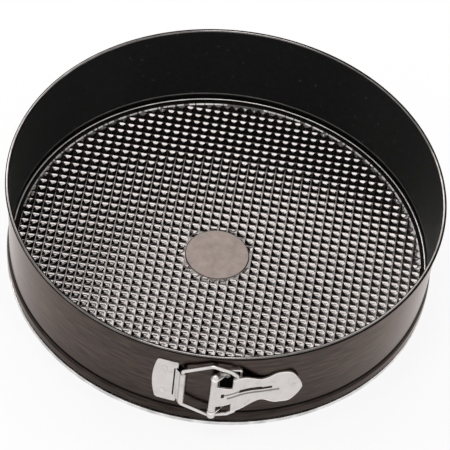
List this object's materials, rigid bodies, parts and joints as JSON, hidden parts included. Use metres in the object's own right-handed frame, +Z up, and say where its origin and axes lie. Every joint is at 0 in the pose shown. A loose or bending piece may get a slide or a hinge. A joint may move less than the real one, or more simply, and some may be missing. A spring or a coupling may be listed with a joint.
{
  "type": "springform pan",
  "caption": "Round springform cake pan: split dark band with a rolled rim, over-centre clasp and lift-out waffle-embossed base plate.",
  "frame": {"origin": "on the pan's axis, at the height of the table it stands on", "axes": "+Z up along the pan's axis, -Y out of the clasp, +X towards the lever's thumb tab"},
  "size_m": [0.264, 0.2694, 0.066],
  "materials": {
    "band_coat": "satin",
    "base_coat": "satin",
    "clasp_steel": "satin",
    "wire_steel": "gloss",
    "rivet_steel": "satin"
  },
  "bodies": {
    "ring_right": {"ring_right_half": "band_coat", "lever_bracket": "clasp_steel", "lever_bracket_rivets": "rivet_steel", "lever_pivot_pin": "rivet_steel"},
    "ring_left": {"ring_left_half": "band_coat", "catch_plate": "clasp_steel", "catch_plate_rivets": "rivet_steel"},
    "base": {"base_plate": "base_coat"},
    "lever": {"clamp_lever": "clasp_steel"},
    "bail": {"tension_bail": "wire_steel"}
  },
  "joints": [
    {"name": "lever_swing", "type": "hinge", "parent": "ring_right", "child": "lever", "pos_m": [0.0067, -0.13479, 0.036], "axis": [0, 0, -1], "range_deg": [0, 120]},
    {"name": "ring_open", "type": "hinge", "parent": "ring_right", "child": "ring_left", "pos_m": [0, 0.1324, 0.033], "axis": [0, 0, -1], "range_deg": [0, 2.68]},
    {"name": "bail_swing", "type": "hinge", "parent": "ring_left", "child": "bail", "pos_m": [-0.012, -0.13199, 0.036], "axis": [0, 0, -1], "range_deg": [0, 28.14]},
    {"name": "base_lift", "type": "slide", "parent": "ring_right", "child": "base", "axis": [0, 0, 1], "range_m": [0, 0.08]}
  ],
  "couplings": [
    {"joint": "ring_open", "follows": "lever_swing", "ratio": 0.022298},
    {"joint": "bail_swing", "follows": "lever_swing", "ratio": 0.23444}
  ]
}
